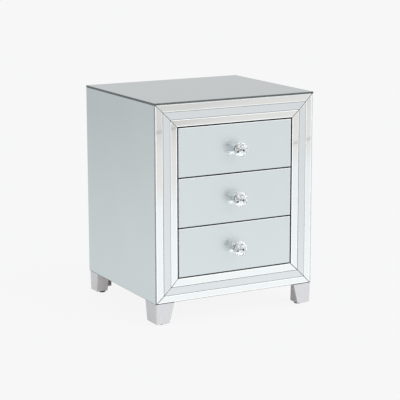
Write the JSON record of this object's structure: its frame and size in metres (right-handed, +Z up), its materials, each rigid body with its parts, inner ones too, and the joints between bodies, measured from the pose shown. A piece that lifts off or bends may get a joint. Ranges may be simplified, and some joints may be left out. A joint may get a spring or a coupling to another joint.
{
  "type": "bedside chest of drawers",
  "caption": "Mirrored bedside chest on short tapered feet, with a bevelled mirror frame around inset drawers that slide on ball-bearing runners and open by crystal knobs.",
  "frame": {"origin": "on the floor, under the middle of the box that holds the chest and its knobs", "axes": "+Z up, drawers open towards -Y, +X to the right of someone who faces the drawers"},
  "size_m": [0.5, 0.481, 0.6175],
  "materials": {
    "mirror_glass": "silvered glass, polished, edges ground",
    "fibreboard": "bare medium-density fibreboard",
    "painted_board": "fibreboard with matte near-black paint",
    "drawer_board": "board with a grey paper foil",
    "hardboard": "thin board, painted grey",
    "silver_paint": "solid wood with satin silver paint",
    "grey_paint": "softwood with matte dark grey paint",
    "dark_plastic": "moulded, matte",
    "zinc_steel": "bright zinc plate",
    "crystal": "clear cut crystal, polished",
    "chrome": "polished chrome plate"
  },
  "bodies": {
    "carcass": {"top_mirror": "mirror_glass", "side_mirror_left": "mirror_glass", "side_mirror_right": "mirror_glass", "frame_mirror_left": "mirror_glass", "frame_mirror_right": "mirror_glass", "frame_mirror_top": "mirror_glass", "frame_mirror_bottom": "mirror_glass", "bottom_panel": "fibreboard", "top_panel": "fibreboard", "side_panel_left": "fibreboard", "side_panel_right": "fibreboard", "runner_upright_left": "fibreboard", "runner_upright_right": "fibreboard", "frame_stile_left": "painted_board", "frame_stile_right": "painted_board", "frame_rail_top": "painted_board", "frame_rail_bottom": "painted_board", "foot_front_left": "silver_paint", "foot_front_right": "silver_paint", "foot_rear_left": "silver_paint", "foot_rear_right": "silver_paint", "foot_brace_left": "grey_paint", "foot_brace_right": "grey_paint", "back_panel": "hardboard", "foot_glides": "dark_plastic", "foot_bolts": "zinc_steel", "back_panel_screws": "zinc_steel", "runner_screws": "zinc_steel", "runner_rails": "zinc_steel"},
    "drawer_top": {"drawer_mirror_top": "mirror_glass", "drawer_front_top": "painted_board", "drawer_side_left_top": "drawer_board", "drawer_side_right_top": "drawer_board", "drawer_back_top": "drawer_board", "drawer_base_top": "hardboard", "knob_top": "crystal", "knob_stem_top": "chrome", "drawer_screws_top": "zinc_steel", "drawer_slides_top": "zinc_steel"},
    "runner_cages_top": {"ball_cages_top": "zinc_steel"},
    "drawer_middle": {"drawer_mirror_middle": "mirror_glass", "drawer_front_middle": "painted_board", "drawer_side_left_middle": "drawer_board", "drawer_side_right_middle": "drawer_board", "drawer_back_middle": "drawer_board", "drawer_base_middle": "hardboard", "knob_middle": "crystal", "knob_stem_middle": "chrome", "drawer_screws_middle": "zinc_steel", "drawer_slides_middle": "zinc_steel"},
    "runner_cages_middle": {"ball_cages_middle": "zinc_steel"},
    "drawer_bottom": {"drawer_mirror_bottom": "mirror_glass", "drawer_front_bottom": "painted_board", "drawer_side_left_bottom": "drawer_board", "drawer_side_right_bottom": "drawer_board", "drawer_back_bottom": "drawer_board", "drawer_base_bottom": "hardboard", "knob_bottom": "crystal", "knob_stem_bottom": "chrome", "drawer_screws_bottom": "zinc_steel", "drawer_slides_bottom": "zinc_steel"},
    "runner_cages_bottom": {"ball_cages_bottom": "zinc_steel"}
  },
  "joints": [
    {"name": "drawer_top_slide", "type": "slide", "parent": "carcass", "child": "drawer_top", "axis": [0, -1, 0], "range_m": [0, 0.26]},
    {"name": "runner_cages_top_roll", "type": "slide", "parent": "carcass", "child": "runner_cages_top", "axis": [0, -1, 0], "range_m": [0, 0.13]},
    {"name": "drawer_middle_slide", "type": "slide", "parent": "carcass", "child": "drawer_middle", "axis": [0, -1, 0], "range_m": [0, 0.26]},
    {"name": "runner_cages_middle_roll", "type": "slide", "parent": "carcass", "child": "runner_cages_middle", "axis": [0, -1, 0], "range_m": [0, 0.13]},
    {"name": "drawer_bottom_slide", "type": "slide", "parent": "carcass", "child": "drawer_bottom", "axis": [0, -1, 0], "range_m": [0, 0.26]},
    {"name": "runner_cages_bottom_roll", "type": "slide", "parent": "carcass", "child": "runner_cages_bottom", "axis": [0, -1, 0], "range_m": [0, 0.13]}
  ],
  "couplings": [
    {"joint": "runner_cages_top_roll", "follows": "drawer_top_slide", "ratio": 0.5},
    {"joint": "runner_cages_middle_roll", "follows": "drawer_middle_slide", "ratio": 0.5},
    {"joint": "runner_cages_bottom_roll", "follows": "drawer_bottom_slide", "ratio": 0.5}
  ]
}
